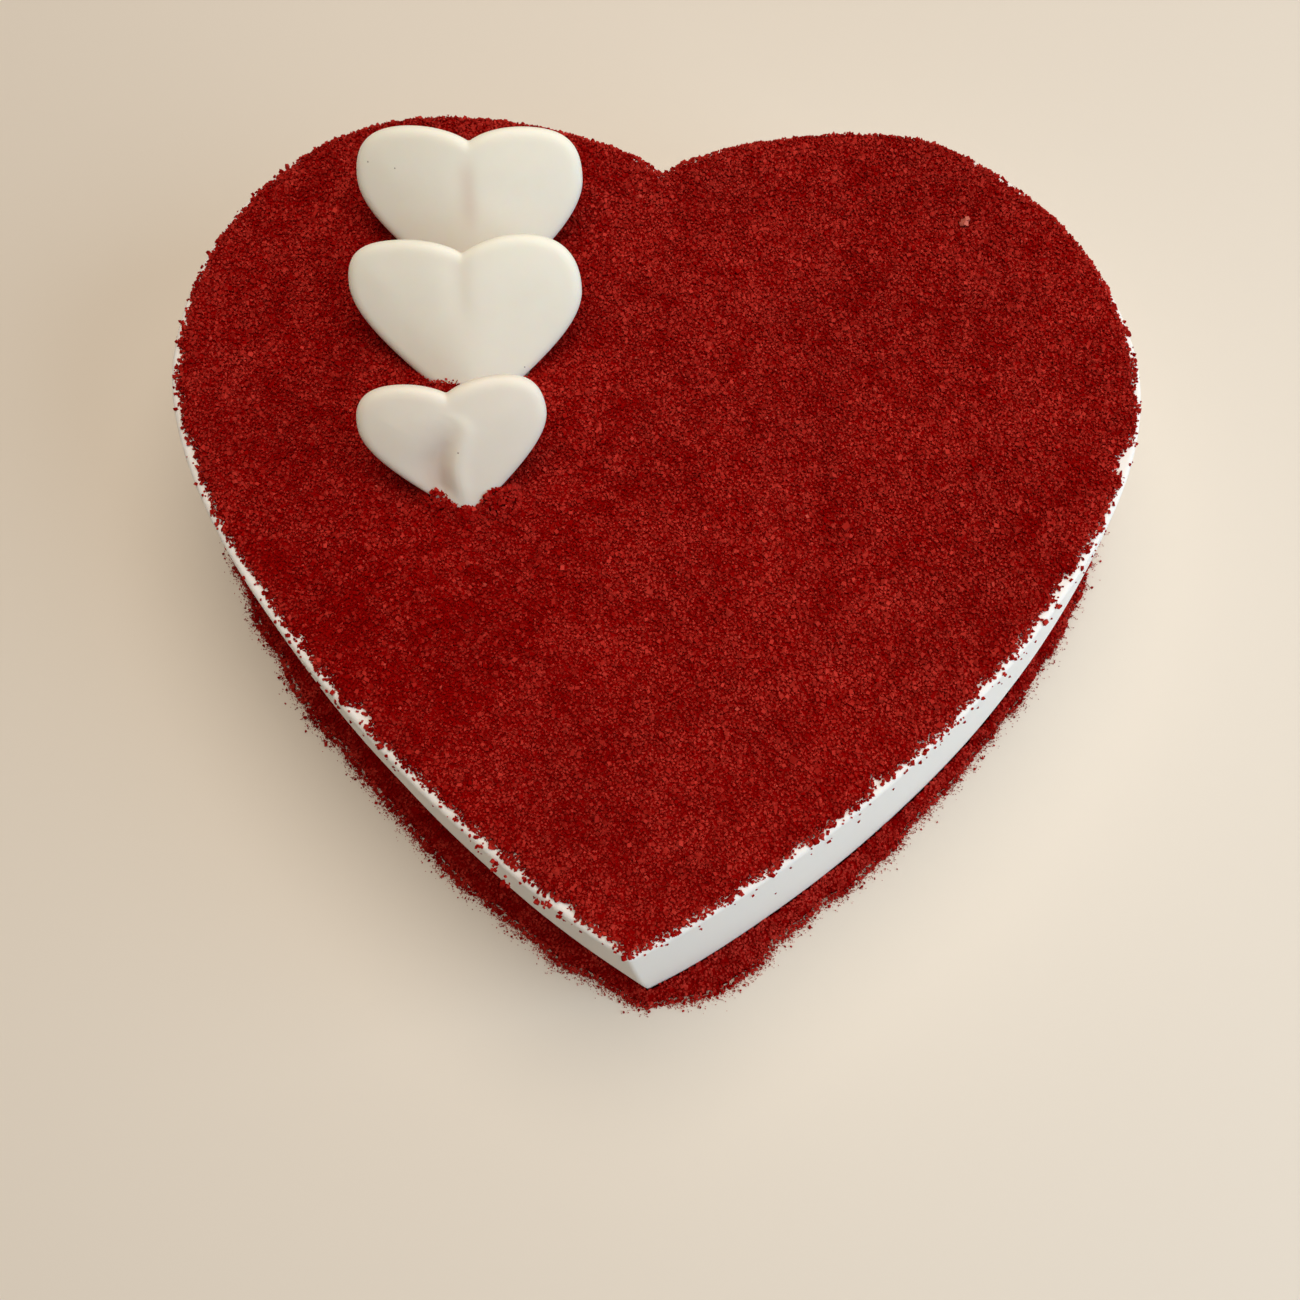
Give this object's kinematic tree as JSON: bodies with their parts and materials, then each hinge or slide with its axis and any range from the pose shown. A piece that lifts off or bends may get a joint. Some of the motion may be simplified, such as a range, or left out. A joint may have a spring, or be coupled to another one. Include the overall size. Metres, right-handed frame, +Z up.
{
  "type": "heart shaped cake",
  "caption": "Heart-shaped celebration cake with smooth white cream sides, fine red cake crumbs over the top and round the foot, and a row of white sugar-paste hearts.",
  "frame": {"origin": "middle of the footprint, on the surface that the cake stands on", "axes": "+Z up, -Y towards the tip of the heart, +X to the right seen from the tip"},
  "size_m": [0.2372, 0.2144, 0.0848],
  "materials": {
    "cream": "smoothed whipped cream, soft satin",
    "crumbs": "dry fine cake crumbs, rough",
    "sugar_paste": "pressed sugar paste, satin, slightly translucent"
  },
  "bodies": {
    "root": {"cake_body": "cream", "crumb_top": "crumbs", "crumb_foot": "crumbs", "heart_back": "sugar_paste", "heart_middle": "sugar_paste", "heart_front": "sugar_paste"}
  },
  "joints": []
}
